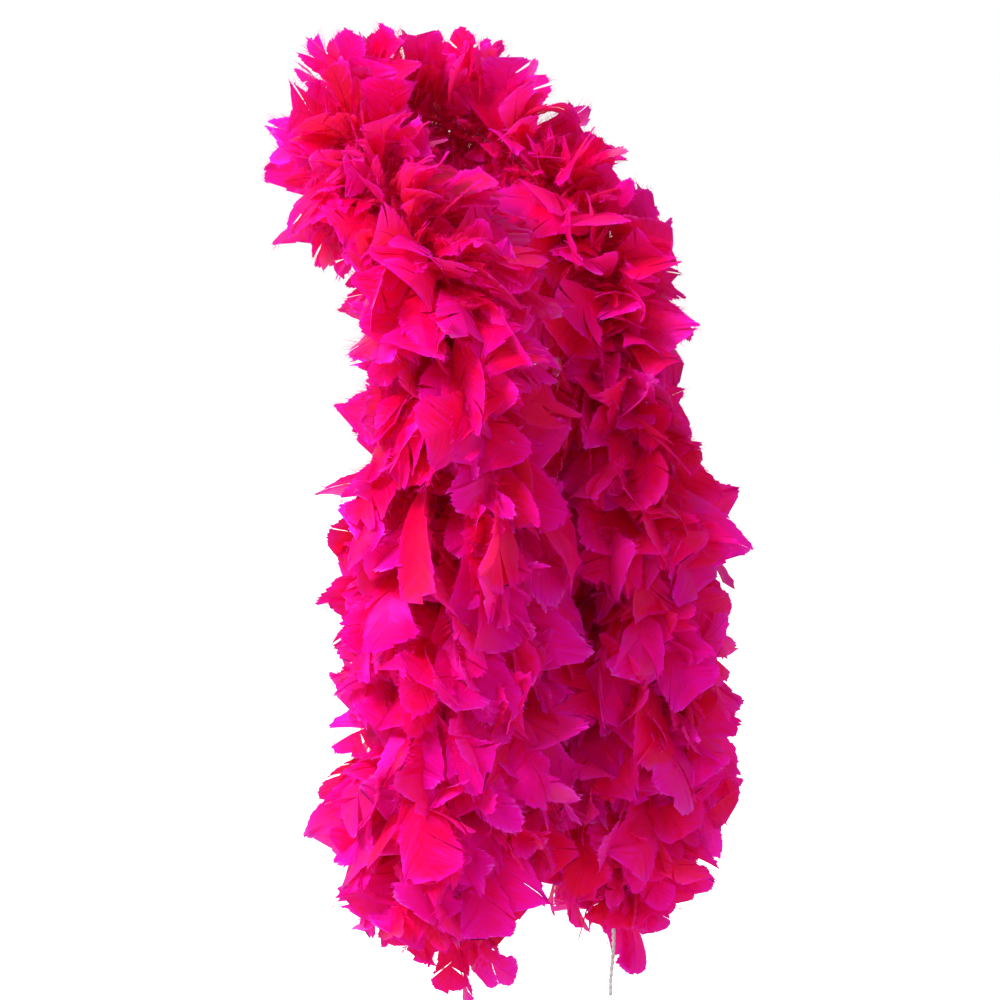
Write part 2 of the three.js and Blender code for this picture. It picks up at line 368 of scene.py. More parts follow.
class Spines:
    """The quills' curves: straight out of the string, then bent by an angle in one plane."""

    def __init__(self, root, way, bend, angle, roll_root, roll_tip):
        self.root, self.way, self.bend, self.angle = root, way, bend, angle
        self.across = np.cross(way, bend)
        self.roll_root, self.roll_tip = roll_root, roll_tip
        self.length = np.ones(len(root))

    def at(self, x):
        """Place, direction, broad direction and face direction at shares x, shaped (F, n)."""
        phi = self.angle[:, None] * np.maximum(0, x - STRAIGHT) / (1 - STRAIGHT)
        arc = self.length[:, None] * (1 - STRAIGHT) / self.angle[:, None]
        out = self.length[:, None] * np.minimum(x, STRAIGHT) + arc * np.sin(phi)
        side = arc * (1 - np.cos(phi))
        way, bend, across = (v[:, None, :] for v in (self.way, self.bend, self.across))
        place = self.root[:, None] + out[..., None] * way + side[..., None] * bend
        cos, sin = np.cos(phi)[..., None], np.sin(phi)[..., None]
        along = cos * way + sin * bend
        inner = cos * bend - sin * way
        roll = self.roll_root[:, None] + (self.roll_tip - self.roll_root)[:, None] * x
        rc, rs = np.cos(roll)[..., None], np.sin(roll)[..., None]
        return place, along, rc * across + rs * inner, rc * inner - rs * across

    def reach_out(self, out, wanted):
        """Sets the lengths so that each feather stands as far out of the string as wanted."""
        place = self.at(np.broadcast_to(np.linspace(0.2, 1, 9), (len(out), 9)))[0]
        radial = ((place - self.root[:, None]) * out[:, None]).sum(-1).max(1)
        self.length = wanted / np.clip(radial, MOST_BENT, 1)

    def keep_in_room(self, half_width):
        """Shortens feathers that would stand too far out of the frame's box or under the boa's ends."""
        x = np.broadcast_to(np.linspace(0.3, LONGEST_LOCK, 8), (len(half_width), 8))
        place, _, broad, _ = self.at(x)
        root = self.root[:, None]
        low, high = (np.array(c) for c in CAD_BOX)
        right = root[..., 0] < 0
        slope = np.where(right, RIGHT_END_SLOPE, LEFT_END_SLOPE)
        depth = np.where(right, RIGHT_END_DEPTH, LEFT_END_DEPTH) * rng.uniform(0.4, 1.2, right.shape)
        under = root[..., 2] - END_Z + depth
        share = np.ones(len(root))
        for side in (-1, 1):
            stand = place + side * WIDEST_LOCK * half_width[:, None, None] * broad - root
            spare = np.where(stand > 0, high + ROOM - root, root - low + ROOM)
            share = np.minimum(share, (spare / np.maximum(np.abs(stand), TINY)).min((1, 2)))
            sunk = slope * np.hypot(stand[..., 0], stand[..., 1]) - stand[..., 2]
            share = np.minimum(share, (under / np.maximum(sunk, TINY)).min(1))
        self.length = self.length * share
        return half_width * share


def lock_faces(rows, columns):
    """Faces of a grid of rows and columns, and of the teeth past the ends of its rows."""
    grid = np.arange(rows * columns).reshape(rows, columns)
    quads = np.stack([grid[:-1, :-1], grid[:-1, 1:], grid[1:, 1:], grid[1:, :-1]], -1).reshape(-1, 4)
    apex = rows * columns + np.arange(rows - 1)
    return quads, np.stack([grid[:-1, -1], apex, grid[1:, -1]], -1)


class Vanes:
    """The two webs of each feather. Every value is an array with one number for each feather."""

    def __init__(self, spines, half_width, corner, slant, point, cup, curl, skew, ragged):
        self.spines, self.half_width, self.point = spines, half_width, point
        self.corner, self.slant = corner, slant
        self.cup, self.curl, self.skew, self.ragged = cup, curl, skew, ragged
        self.wave = rng.uniform(0, 2 * math.pi, len(half_width))

    def outline(self, side, tau):
        """Where the barb from share tau of the web ends: share of length, share of half width."""
        corner = (self.corner + side * self.slant)[:, None]
        edge = np.clip(tau / SHOULDER, 0, 1)
        tip = np.clip((tau - SHOULDER) / (1 - SHOULDER), 0, 1) * math.pi / 2
        along = WEB_EDGE_FROM + (corner - WEB_EDGE_FROM) * edge + (1 - corner) * np.sin(tip) ** 1.2
        wide = (WEB_BASE + (1 - WEB_BASE) * edge ** 0.9) * np.cos(tip) ** self.point[:, None]
        return along, wide

    def on_web(self, side, tau, u, widen=1.0, part=0.0, lift=0.0, stretch=0.0):
        """Points at share u along the barbs from shares tau, and their shares of the length."""
        end, wide = self.outline(side, tau)
        end = end + stretch * tau
        start = WEB_FROM + (WEB_TO - WEB_FROM) * tau ** 0.95
        w = wide * u * widen * (1 + side * self.skew[:, None])
        x = start + (end - start) * u + part * w
        place, _, broad, face = self.spines.at(x)
        half = self.half_width[:, None]
        crumple = CRUMPLE * np.sin(7 * x + self.wave[:, None]) * np.abs(w) ** 1.5
        edge = self.curl[:, None] * np.maximum(0, w - CURLS_FROM) ** 2
        bulge = self.cup[:, None] * w ** 2 + edge + lift * w + crumple
        return place + side * (half * w)[..., None] * broad + (half * bulge)[..., None] * face, x

    def lock_shape(self, shape):
        """How much one lock of each feather, and each of its barbs, differs from the whole web."""
        one = (shape[0], 1)
        ragged = self.ragged[:, None]
        widen = 1 + ragged * rng.normal(0, 0.07, one) + rng.normal(0, 0.016, shape)
        slim = (self.half_width / self.spines.length)[:, None]
        part = ragged * rng.normal(0, 0.12, one) * slim
        lift = ragged * rng.normal(0, 0.09, one) + rng.normal(0, 0.018, shape)
        stretch = ragged * rng.normal(0, 0.018, one) + rng.normal(0, 0.007, shape)
        return widen, part, lift, stretch

    def add_lock(self, sheaf, tint, side, tau, offset, columns, faces):
        """One lock of barbs from shares tau of the web, with a tooth between each two barbs."""
        widen, part, lift, stretch = self.lock_shape(tau.shape)
        row = [np.repeat(a, len(columns), 1) for a in (tau, widen, lift, stretch, tau + offset)]
        u = np.tile(columns, tau.shape)
        verts, along = self.on_web(side, row[0], u, row[1], part, row[2], row[3])
        tooth = between(tau)
        jag = between(widen) * (1 + rng.normal(0, 0.022, tooth.shape))
        longer = between(stretch) + rng.normal(0, 0.009, tooth.shape)
        whole = np.ones(tooth.shape)
        ends, end_along = self.on_web(side, tooth, whole, jag, part, between(lift), longer)
        uv = np.stack([u, row[4]], -1)
        end_uv = np.stack([whole, between(tau + offset)], -1)
        sheaf.add(np.concatenate([verts, ends], 1), faces, np.concatenate([along, end_along], 1),
                  tint[:, None], 0.0, np.concatenate([uv, end_uv], 1))

    def add_to(self, sheaf, tint, rows, columns):
        """Locks of barbs that part from each other here and there, ending in fine teeth."""
        copies = len(tint)
        for side in (-1, 1):
            cuts = np.stack([np.zeros(copies), rng.uniform(0.28, 0.45, copies),
                             rng.uniform(0.60, 0.80, copies), np.ones(copies)], 1)
            offset = rng.uniform(0, 50, (copies, 1))
            faces = [group[:, ::side] for group in lock_faces(rows, len(columns))]
            for lock in range(LOCKS):
                low, high = cuts[:, lock, None], cuts[:, lock + 1, None]
                tau = low + (high - low) * np.linspace(0, 1, rows)
                self.add_lock(sheaf, tint, side, tau, offset, columns, faces)

    def add_fringe(self, sheaf, tint, strands):
        """Single barbs that stand past the webs' edges: long and soft low down, short by the tip."""
        copies = len(tint)
        for side in (-1, 1):
            tau = barb_rng.uniform(0, 0.97, (copies, strands))
            past = barb_rng.uniform(0.001, 0.005, tau.shape)
            past = past + 0.012 * barb_rng.random(tau.shape) * (1 - tau) ** 2
            longer = 1 + past / self.half_width[:, None]
            lift = barb_rng.normal(0, 0.12, tau.shape)
            roots = [np.clip(tau + step, 0, 1) for step in (-FRINGE_HALF, FRINGE_HALF)]
            corners = [self.on_web(side, root, np.full(tau.shape, FRINGE_FROM))[0] for root in roots]
            corners.append(self.on_web(side, tau, longer, lift=lift)[0])
            verts = np.stack(corners, 2).reshape(copies, strands * 3, 3)
            u = np.tile([FRINGE_FROM, FRINGE_FROM, 1.0], (copies, strands))
            along = np.repeat(tau, 3, 1)
            faces = np.arange(strands * 3).reshape(-1, 3)
            sheaf.add(verts, (faces,), along, tint[:, None], 0.2, np.stack([u, along], -1))


def add_quills(sheaf, spines, tint, thick=0.0009, rings=7):
    """The quill and shaft: a thin three-sided taper."""
    copies = len(tint)
    x = np.linspace(0, 0.97, rings)
    place, _, broad, face = spines.at(np.broadcast_to(x, (copies, rings)))
    radius = (thick * (1 - 0.8 * x))[None, :, None]
    corners = [place + radius * (math.cos(a) * broad + math.sin(a) * face) for a in (0.5, 2.6, 4.7)]
    verts = np.stack(corners, 2).reshape(copies, rings * 3, 3)
    grid = np.arange(rings * 3).reshape(rings, 3)
    nxt = np.roll(grid, -1, 1)
    quads = np.stack([grid[:-1], nxt[:-1], nxt[1:], grid[1:]], -1).reshape(-1, 4)
    sheaf.add(verts, (quads,), np.repeat(x, 3)[None], tint[:, None], 1.0, np.zeros(2))


def add_down(sheaf, spines, tint, barbs, low, high, size, thick):
    """Loose downy barbs that curl away from the shaft between two shares of its length."""
    copies = len(tint)
    x = barb_rng.uniform(low, high, (copies, barbs))
    place, along, broad, face = spines.at(x)
    turn = barb_rng.uniform(0, 2 * math.pi, (copies, barbs, 1))
    out = np.cos(turn) * broad + 0.6 * np.sin(turn) * face
    lean = barb_rng.uniform(0.2, 1.1, (copies, barbs, 1))
    way = unit(out + lean * along)
    curl = unit(barb_rng.normal(0, 1, way.shape))
    length = size * barb_rng.uniform(0.5, 1.1, (copies, barbs, 1))
    shares = (0, 0.5, 1)
    middle = [place + length * (s * way + 0.45 * s * s * curl) for s in shares]
    wide = unit(np.cross(way, curl))
    verts = []
    for m, s in zip(middle[:-1], shares):
        half = thick * (1 - 0.5 * s) * wide
        verts += [m - half, m + half]
    verts.append(middle[-1])
    corners = len(verts)
    verts = np.stack(verts, 2).reshape(copies, barbs * corners, 3)
    each = corners * np.arange(barbs)[:, None, None]
    quads = (each + np.array([[0, 1, 3, 2]])).reshape(-1, 4)
    tips = (each + np.array([[2, 3, 4]])).reshape(-1, 3)
    sheaf.add(verts, (quads, tips), np.repeat(x, corners, 1), tint[:, None], 0.3, np.zeros(2))


def folded_off_neck(out, place, fold):
    """Directions with those towards the neck folded up or down along it, by a share."""
    inward = unit(-place * np.array([1, 1, 0]))
    toward = np.clip(dot(out, inward), 0, 1) * smoothstep(place[:, 2:], -0.09, -0.03)
    up_or_down = np.where(out[:, 2:] > -0.3, 0.7, -0.7) * np.array([0, 0, 1.0])
    return unit(out + fold[:, None] * toward * (up_or_down - 0.9 * inward))


def golden_ways(along, number):
    """Directions round the string, each a golden angle on from the one before, with some scatter."""
    upright = np.array([0, -0.6, 0.8])
    first = unit(upright - dot(along, upright) * along)
    second = np.cross(along, first)
    turn = number * math.pi * (3 - 5 ** 0.5) + rng.normal(0, 0.35, len(number))
    out = np.cos(turn)[:, None] * first + np.sin(turn)[:, None] * second
    return out, turn


def clumps(s, turn):
    """Low waves over the boa's surface: ruffs of real feathers bunch and part."""
    return (0.5 * np.sin(2 * math.pi * s / 0.105 + 1.3 * np.sin(turn))
            + 0.3 * np.sin(2 * math.pi * s / 0.047 + 2 * turn)
            + 0.2 * np.sin(2 * math.pi * s / 0.29 - turn))


def make_spines(s, number, share, bend_low, bend_high, fold=(0.3, 1.0), shortest=0.0):
    """Quills bound in turn round the string, that droop towards the floor where the boa hangs."""
    place, along = ROUTE.place(s), ROUTE.along(s)
    out, turn = golden_ways(along, number)
    out = folded_off_neck(out, place, rng.uniform(*fold, len(s)))
    hanging = smoothstep(-place[:, 2:], 0.05, 0.25)
    down = np.array([0, 0, -1.0])
    tilt = rng.normal(0.0, 0.28, (len(s), 1))
    droop = hanging * rng.normal(0.46, 0.24, (len(s), 1))
    way = unit(out + tilt * along + droop * down)
    pull = down + 0.55 * rng.normal(0, 1, way.shape) + 0.35 * out
    bend = unit(pull - dot(pull, way) * way)
    angle = rng.uniform(bend_low, bend_high, len(s)) * (1 - 0.65 * np.clip(out[:, 2], 0, 1))
    roll = rng.normal(0, 0.5, len(s))
    roll_tip = roll + rng.normal(0, 0.55, len(s))
    spines = Spines(place + QUILL_OUT * out, way, bend, angle, roll, roll_tip)
    wanted = reach(place, out) * share * (1 + 0.13 * clumps(s, turn))
    spines.reach_out(out, np.maximum(wanted, shortest))
    return spines


def add_webbed(sheaf, spines, vanes, tint):
    """The webs, loose barbs and quills of whole feathers."""
    vanes.add_to(sheaf, tint, rows=8, columns=np.array([0, 0.38, 0.72, 0.96]))
    vanes.add_fringe(sheaf, tint, strands=44)
    add_quills(sheaf, spines, tint)


def make_flats(sheaf, s, number):
    """Broad flat body feathers: fan-shaped vanes with blunt ragged tips, and down at the quill."""
    count = len(s)
    spines = make_spines(s, number, rng.uniform(0.66, 1.16, count), 0.35, 1.5)
    upright = np.clip(spines.way[:, 2], 0, 1) * (spines.root[:, 2] > -0.08)
    narrow = rng.random(count) < 0.22 + 0.4 * upright

    def pick(slim, broad):
        return np.where(narrow, rng.uniform(*slim, count), rng.uniform(*broad, count))

    width = np.clip(spines.length * pick((0.09, 0.15), (0.25, 0.38)), 0.006, 0.035)
    width = spines.keep_in_room(width)
    vanes = Vanes(spines, width,
                  corner=pick((0.70, 0.86), (0.87, 0.97)),
                  slant=rng.uniform(-0.07, 0.07, count),
                  point=pick((0.7, 1.3), (0.12, 0.36)),
                  cup=rng.normal(0.08, 0.14, count),
                  curl=rng.normal(0.05, 0.4, count),
                  skew=rng.normal(0, 0.10, count),
                  ragged=rng.uniform(0.1, 1.5, count))
    tint = rng.random(count)
    add_webbed(sheaf, spines, vanes, tint)
    add_down(sheaf, spines, tint, barbs=46, low=0.05, high=0.62, size=0.017, thick=0.00025)


def make_inner(sheaf, s, number):
    """Short feathers close to the string, that fill the boa's middle."""
    count = len(s)
    spines = make_spines(s, number, rng.uniform(0.28, 0.55, count), 0.35, 1.2,
                         fold=(0, 0.2), shortest=0.015)
    width = np.clip(0.45 * spines.length, 0.007, 0.020)
    vanes = Vanes(spines, width,
                  corner=rng.uniform(0.75, 0.9, count),
                  slant=np.zeros(count),
                  point=rng.uniform(0.4, 0.9, count),
                  cup=rng.normal(0.2, 0.2, count),
                  curl=np.zeros(count),
                  skew=np.zeros(count),
                  ragged=np.ones(count))
    tint = 0.5 * rng.random(count)
    vanes.add_to(sheaf, tint, rows=4, columns=np.array([0, 0.5, 0.92]))
    add_down(sheaf, spines, tint, barbs=34, low=0.02, high=0.8, size=0.016, thick=0.00028)


def make_plumes(sheaf, s, number):
    """Soft semiplumes between the flats: no web, only loose barbs along the shaft."""
    count = len(s)
    spines = make_spines(s, number, rng.uniform(0.55, 0.92, count), 0.4, 1.4)
    spines.keep_in_room(np.full(count, 0.012))
    tint = rng.random(count)
    add_quills(sheaf, spines, tint, thick=0.0005)
    add_down(sheaf, spines, tint, barbs=150, low=0.10, high=0.99, size=0.014, thick=0.00025)


def tip_lengths(standing, left):
    """Lengths of the slim feathers: those that stand up, and those at the left and right ends."""
    count = len(standing)
    stand = rng.uniform(0.080, 0.112, count)
    hang_left = rng.uniform(0.060, 0.100, count)
    hang_right = rng.uniform(0.080, 0.118, count)
    return np.where(standing, stand, np.where(left, hang_left, hang_right))


def make_tips(sheaf, s, _):
    """Long slim feathers: some stand up round the neck, and some hang from the boa's two ends."""
    place = ROUTE.place(s)
    from_end = np.minimum(s, ROUTE.length - s)
    standing = (place[:, 2] > TIPS_STAND_ABOVE) & (rng.random(len(s)) < 0.5)
    chosen = standing | (from_end < TIPS_HANG_WITHIN)
    place, standing, count = place[chosen], standing[chosen], int(chosen.sum())
    if count == 0:
        return
    outward = unit(place * np.array([1, 1, 0]))
    up = np.array([0, 0, 1.0]) + 0.30 * outward + rng.normal(0, 0.30, place.shape)
    down = np.array([0.19, -0.16, -1.0]) + rng.normal(0, 0.20, place.shape)
    way = unit(np.where(standing[:, None], up, down))
    bend = unit(np.cross(way, rng.normal(0, 1, way.shape)))
    roll = rng.uniform(0, math.pi, count)
    angle = rng.uniform(0.15, 0.7, count)
    spines = Spines(place + QUILL_OUT * way, way, bend, angle, roll, roll + 0.4)
    spines.length = tip_lengths(standing, left=place[:, 0] > 0)
    width = spines.length * rng.uniform(0.09, 0.20, count)
    vanes = Vanes(spines, width,
                  corner=rng.uniform(0.74, 0.93, count),
                  slant=rng.uniform(-0.06, 0.06, count),
                  point=rng.uniform(0.3, 0.9, count),
                  cup=rng.normal(0.10, 0.12, count),
                  curl=rng.normal(0, 0.3, count),
                  skew=rng.normal(0, 0.1, count),
                  ragged=rng.uniform(0.5, 1.5, count))
    tint = rng.random(count)
    add_webbed(sheaf, spines, vanes, tint)
    add_down(sheaf, spines, tint, barbs=20, low=0.08, high=0.5, size=0.017, thick=0.00028)


# ---- Materials -------------------------------------------------------------------------

class Nodes:
    """A short way to write a material's nodes."""

    def __init__(self, name):
        self.material = bpy.data.materials.new(name)
        self.material.use_nodes = True
        self.tree = self.material.node_tree
        self.tree.nodes.clear()

    def add(self, kind, **settings):
        node = self.tree.nodes.new(kind)
        for key, value in settings.items():
            setattr(node, key, value)
        return node

    def link(self, a, b):
        self.tree.links.new(a, b)

    def attribute(self, name):
        return self.add("ShaderNodeAttribute", attribute_name=name).outputs["Fac"]

    def math(self, operation, a, b):
        node = self.add("ShaderNodeMath", operation=operation)
        for socket, value in zip(node.inputs, (a, b)):
            if isinstance(value, (int, float)):
                socket.default_value = value
            else:
                self.link(value, socket)
        return node.outputs[0]

    def ramp(self, value, stops):
        node = self.add("ShaderNodeValToRGB")
        self.link(value, node.inputs["Fac"])
        elements = node.color_ramp.elements
        while len(elements) < len(stops):
            elements.new(0.5)
        for element, (position, color) in zip(elements, stops):
            element.position = position
            element.color = (*color, 1)
        return node.outputs["Color"]

    def noise(self, vector, scale, detail):
        node = self.add("ShaderNodeTexNoise")
        self.link(vector, node.inputs["Vector"])
        node.inputs["Scale"].default_value = scale
        node.inputs["Detail"].default_value = detail
        return node.outputs["Fac"]

    def mix(self, share, color, other):
        """A linked colour with a share of another, fixed, colour mixed in."""
        node = self.add("ShaderNodeMix", data_type="RGBA")
        node.inputs["Factor"].default_value = share
        linked, fixed = (i for i in node.inputs if i.type == "RGBA")
        self.link(color, linked)
        fixed.default_value = (*other, 1)
        return [o for o in node.outputs if o.type == "RGBA"][0]

    def shifted(self, level, pattern, share):
        """A level moved up or down where a noise pattern is above or below its middle."""
        swing = self.math("MULTIPLY", self.math("SUBTRACT", pattern, 0.5), share)
        return self.math("ADD", level, swing)

    def bump(self, height, strength, distance, shader):
        node = self.add("ShaderNodeBump")
        node.inputs["Strength"].default_value = strength
        node.inputs["Distance"].default_value = distance
        self.link(height, node.inputs["Height"])
        self.link(node.outputs["Normal"], shader.inputs["Normal"])

    def surface(self, shader):
        """Ends the nodes with a shader, and gives the material."""
        output = self.add("ShaderNodeOutputMaterial")
        self.link(shader.outputs[0], output.inputs["Surface"])
        return self.material


# Deepest stop: partly the dye's own tone, partly painted shade by the quills in the boa's middle.
DEEP_DYE_AND_PAINTED_SHADE = (0.68, 0.000, 0.006)
DYE_MID = (0.90, 0.000, 0.050)
DYE_BRIGHT = (0.90, 0.004, 0.480)
# Top stop: the lightest dye, and the painted backlight that the web's thin edge is lightened towards.
LILAC_DYE_AND_PAINTED_BACKLIGHT = (0.94, 0.130, 0.780)
DYE_THINNED = (1.00, 0.300, 0.800)


def stretched(n, across, along):
    """The barbs' own coordinates, drawn out so that noise makes streaks that follow the barbs."""
    uv = n.add("ShaderNodeUVMap", uv_map="barbs").outputs["UV"]
    mapping = n.add("ShaderNodeMapping")
    mapping.inputs["Scale"].default_value = (across, along, 1.0)
    n.link(uv, mapping.inputs["Vector"])
    return mapping.outputs["Vector"]


def barb_streaks(n):
    """Fine streaks along the barbs, in broader ones where locks of barbs lie together."""
    locks = n.noise(stretched(n, 1.4, 34.0), 1.0, 3.0)
    barbs = n.noise(stretched(n, 2.0, 120.0), 1.0, 2.0)
    return n.math("ADD", n.math("MULTIPLY", locks, 0.6), n.math("MULTIPLY", barbs, 0.4))


def dye_with_painted_light_and_shade(n, streaks):
    """The dye, with painted light and shade: deep by the quill, partly the dye's own tone and partly
    painted shade where the roots lie in the boa's middle; brighter towards the tip; lilac at the web's
    thin edge, which is painted backlight.
    """
    along, tint, quill = (n.attribute(a) for a in ("along", "tint", "quill"))
    patches = n.noise(n.add("ShaderNodeTexCoord").outputs["Object"], 42.0, 2.0)
    # along darkens the colour towards the quill: partly the dye's own tone, partly painted shade.
    level = n.math("ADD", n.math("MULTIPLY", tint, 0.32), n.math("MULTIPLY", along, 0.46))
    level = n.shifted(level, streaks, 1.1)
    level = n.shifted(level, patches, 0.35)
    level = n.math("ADD", level, n.math("MULTIPLY", quill, 0.25))
    # Painted backlight: the web's outer edge is lightened towards lilac, as if light from behind showed
    # through the thin barbs.
    split = n.add("ShaderNodeSeparateXYZ")
    n.link(n.add("ShaderNodeUVMap", uv_map="barbs").outputs["UV"], split.inputs[0])
    edge = n.math("POWER", split.outputs["X"], 4.0)
    level = n.math("MULTIPLY", n.math("ADD", level, n.math("MULTIPLY", edge, 0.30)), 0.8)
    return n.ramp(level, [(0.0, DEEP_DYE_AND_PAINTED_SHADE), (0.36, DYE_MID), (0.74, DYE_BRIGHT), (1.0, LILAC_DYE_AND_PAINTED_BACKLIGHT)])


def feather_material():
    """Dyed barbs, with a violet gloss, that let light through from behind."""
    n = Nodes("dyed_feather")
    streaks = barb_streaks(n)
    color = dye_with_painted_light_and_shade(n, streaks)
    shader = n.add("ShaderNodeBsdfPrincipled")
    n.link(color, shader.inputs["Base Color"])
    shader.inputs["Roughness"].default_value = 0.38
    shader.inputs["Specular IOR Level"].default_value = 1.0
    shader.inputs["Specular Tint"].default_value = (1.0, 0.02, 1.0, 1)
    shader.inputs["Sheen Weight"].default_value = 0.25
    shader.inputs["Sheen Roughness"].default_value = 0.45
    shader.inputs["Sheen Tint"].default_value = (0.8, 0.02, 1.0, 1)
    n.bump(streaks, 0.6, 0.0008, shader)
    through = n.add("ShaderNodeBsdfTranslucent")
    n.link(n.mix(0.06, color, DYE_THINNED), through.inputs["Color"])
    both = n.add("ShaderNodeMixShader")
    both.inputs["Fac"].default_value = 0.45
    n.link(shader.outputs[0], both.inputs[1])
    n.link(through.outputs[0], both.inputs[2])
    return n.surface(both)


def cotton_material(name, dark, light, fuzz):
    """Twisted cotton: fine fibre streaks, soiled a little in patches."""
    n = Nodes(name)
    where = n.add("ShaderNodeTexCoord").outputs["Object"]
    fibres = n.noise(where, 1800.0, 3.0)
    patches = n.noise(where, 160.0, 2.0)
    level = n.math("ADD", n.math("MULTIPLY", fibres, 0.6), n.math("MULTIPLY", patches, 0.4))
    shader = n.add("ShaderNodeBsdfPrincipled")
    n.link(n.ramp(level, [(0.3, dark), (0.7, light)]), shader.inputs["Base Color"])
    shader.inputs["Roughness"].default_value = 0.9
    shader.inputs["Sheen Weight"].default_value = fuzz
    n.bump(fibres, 0.5, 0.0003, shader)
    return n.surface(shader)


FEATHER = feather_material()
COTTON = cotton_material("string_cotton", (0.52, 0.50, 0.47), (0.80, 0.79, 0.76), 0.3)
STAINED = cotton_material("string_stained_by_dye", (0.30, 0.004, 0.06), (0.62, 0.030, 0.20), 0.2)
THREAD = cotton_material("binding_thread", (0.45, 0.002, 0.09), (0.75, 0.004, 0.20), 0.2)


# ---- String, knots, bindings -----------------------------------------------------------

def frames_along(points):
    """Directions and two cross directions at each point of a polyline, with no sudden turns."""
    along = unit(np.gradient(points, axis=0))
    first = unit(np.cross(along[0], [0.3, 0.9, 0.1]))
    firsts = []
    for t in along:
        first = unit(first - (first @ t) * t)
        firsts.append(first)
    first = np.array(firsts)
    return along, first, np.cross(along, first)


def tube(points, radius, sides=8):
    """A closed tube along a polyline, as vertices (n, 3) and lists of faces."""
    _, first, second = frames_along(points)
    radius = np.broadcast_to(radius, len(points))[:, None, None]
    angles = 2 * math.pi * np.arange(sides) / sides
    ring = np.cos(angles)[:, None] * first[:, None] + np.sin(angles)[:, None] * second[:, None]
    verts = (points[:, None] + radius * ring).reshape(-1, 3)
    faces = []
    for i in range(len(points) - 1):
        for j in range(sides):
            k = (j + 1) % sides
            faces.append((i * sides + j, i * sides + k, (i + 1) * sides + k, (i + 1) * sides + j))
    faces.append(tuple(range(sides))[::-1])
    last = (len(points) - 1) * sides
    faces.append(tuple(range(last, last + sides)))
    return verts, faces


def join_tubes(name, tubes, material):
    verts, faces, start = [], [], 0
    for v, f in tubes:
        verts.append(v)
        faces += [tuple(start + i for i in face) for face in f]
        start += len(v)
    mesh = bpy.data.meshes.new(name)
    mesh.from_pydata(np.concatenate(verts).tolist(), [], faces)
    mesh.polygons.foreach_set("use_smooth", np.ones(len(faces), bool))
    return add_object(name, mesh, material)


def resampled(points, step):
    route = Route(points)
    return route.place(np.linspace(0, route.length, max(3, round(route.length / step) + 1)))


PLY_OUT = 0.21           # from the string's middle to a ply's, as a share of the string's diameter
PLY_RADIUS = 0.285


def two_ply(path, diameter, lay=0.011):
    """Two strands twisted round each other along a path, one turn in each lay."""
    route = Route(path)
    points = resampled(path, 0.0016)
    s = np.linspace(0, route.length, len(points))
    _, first, second = frames_along(points)
    strands = []
    for ply in (0, 1):
        turn = 2 * math.pi * s / lay + ply * math.pi
        out = np.cos(turn)[:, None] * first + np.sin(turn)[:, None] * second
        strands.append(tube(points + PLY_OUT * diameter * out, PLY_RADIUS * diameter))
    return strands


def route_between(low, high):
    return ROUTE.place(np.linspace(low, high, max(16, round((high - low) / 0.006))))


def fall_point(side, z):
    return (FALL_X * (-1 if side == "right" else 1), FALL_Y, z)


def fall_s(side, z):
    """Distance along the route of the height z on a fall."""
    s = z - END_Z
    return s if side == "right" else ROUTE.length - s


def bend_across(piece):
    """Bakes a piece's transform into its mesh."""
    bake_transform(piece)


def make_core(name, path):
    return join_tubes(name, two_ply(path, STRING_D), STAINED)


def declare_core(node):
    """Hides the frame's node that a length of the core stands in for."""
    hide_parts(node)


def make_strings():
    """The core: one length round the neck, and in each fall one length across each pivot."""
    neck_ends = {"right": FALL_LENGTH + RUFF_PITCH, "left": ROUTE.length - FALL_LENGTH - RUFF_PITCH}
    path = route_between(neck_ends["right"], neck_ends["left"])
    neck = make_core("core_string_neck", path)
    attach(neck, "neck_loop")
    declare_core("string_neck")
    for side in SIDES:
        near = neck_ends[side]
        for i, part in enumerate(PARTS):
            middle = PIVOT_Z - (i + 0.5) * LENGTH
            far = fall_s(side, middle if part != "lower" else END_Z)
            path = route_between(*sorted((near, far)))
            path = path if path[0][2] > path[-1][2] else path[::-1]
            piece = make_core(f"core_string_{side}_{i + 1}", path)
            bend_across(piece)
            declare_core(f"string_{side}_{part}")
            near = far


def make_knot(side):
    """An overhand knot, from the long trefoil's polynomial."""
    t = np.linspace(-2.06, 2.06, 70)
    curve = np.stack([t ** 3 - 3 * t, t ** 4 - 4 * t ** 2 + 2, 0.2 * t ** 5 - 2 * t], 1)
    low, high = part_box(f"knot_{side}")
    middle = (np.array(low) + np.array(high)) / 2
    points = middle + curve * np.array([0.0013, 0.0013, -0.0018])
    plies = two_ply(resampled(points, 0.0012), KNOT_D, 0.009)
    piece = join_tubes(f"end_knot_{side}", plies, COTTON)
    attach(piece, f"{side}_lower")
    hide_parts(f"knot_{side}")


def make_binding(side):
    """Close turns of dyed thread that lock the last quills to the string."""
    low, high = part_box(f"binding_{side}")
    t = np.linspace(0, BINDING_TURNS, BINDING_TURNS * 14 + 1)
    angle = 2 * math.pi * t
    radius = 0.0031 + 0.0002 * np.sin(5 * t)
    x, y, _ = fall_point(side, 0)
    z = high.z - (high.z - low.z) * t / BINDING_TURNS
    points = np.stack([x + radius * np.cos(angle), y + radius * np.sin(angle), z], 1)
    piece = join_tubes(f"thread_binding_{side}", [tube(points, THREAD_RADIUS, 6)], THREAD)
    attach(piece, f"{side}_lower")
    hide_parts(f"binding_{side}")


def make_tail(side):
    """The free end of the string below the knot, cut and a little frayed."""
    low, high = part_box(f"tail_{side}")
    z = np.linspace(high.z, low.z, 24)
    x, y, _ = fall_point(side, 0)
    down = (high.z - z) / (high.z - low.z)
    sway = 0.0022 * np.sin(5.2 * down) * down
    path = np.stack([x + sway, y - 0.6 * sway, z], 1)
    piece = join_tubes(f"string_tail_{side}", two_ply(path, TAIL_D, 0.013), COTTON)
    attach(piece, f"{side}_lower")
    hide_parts(f"tail_{side}")
    fray = make_fray(side, path[-1])


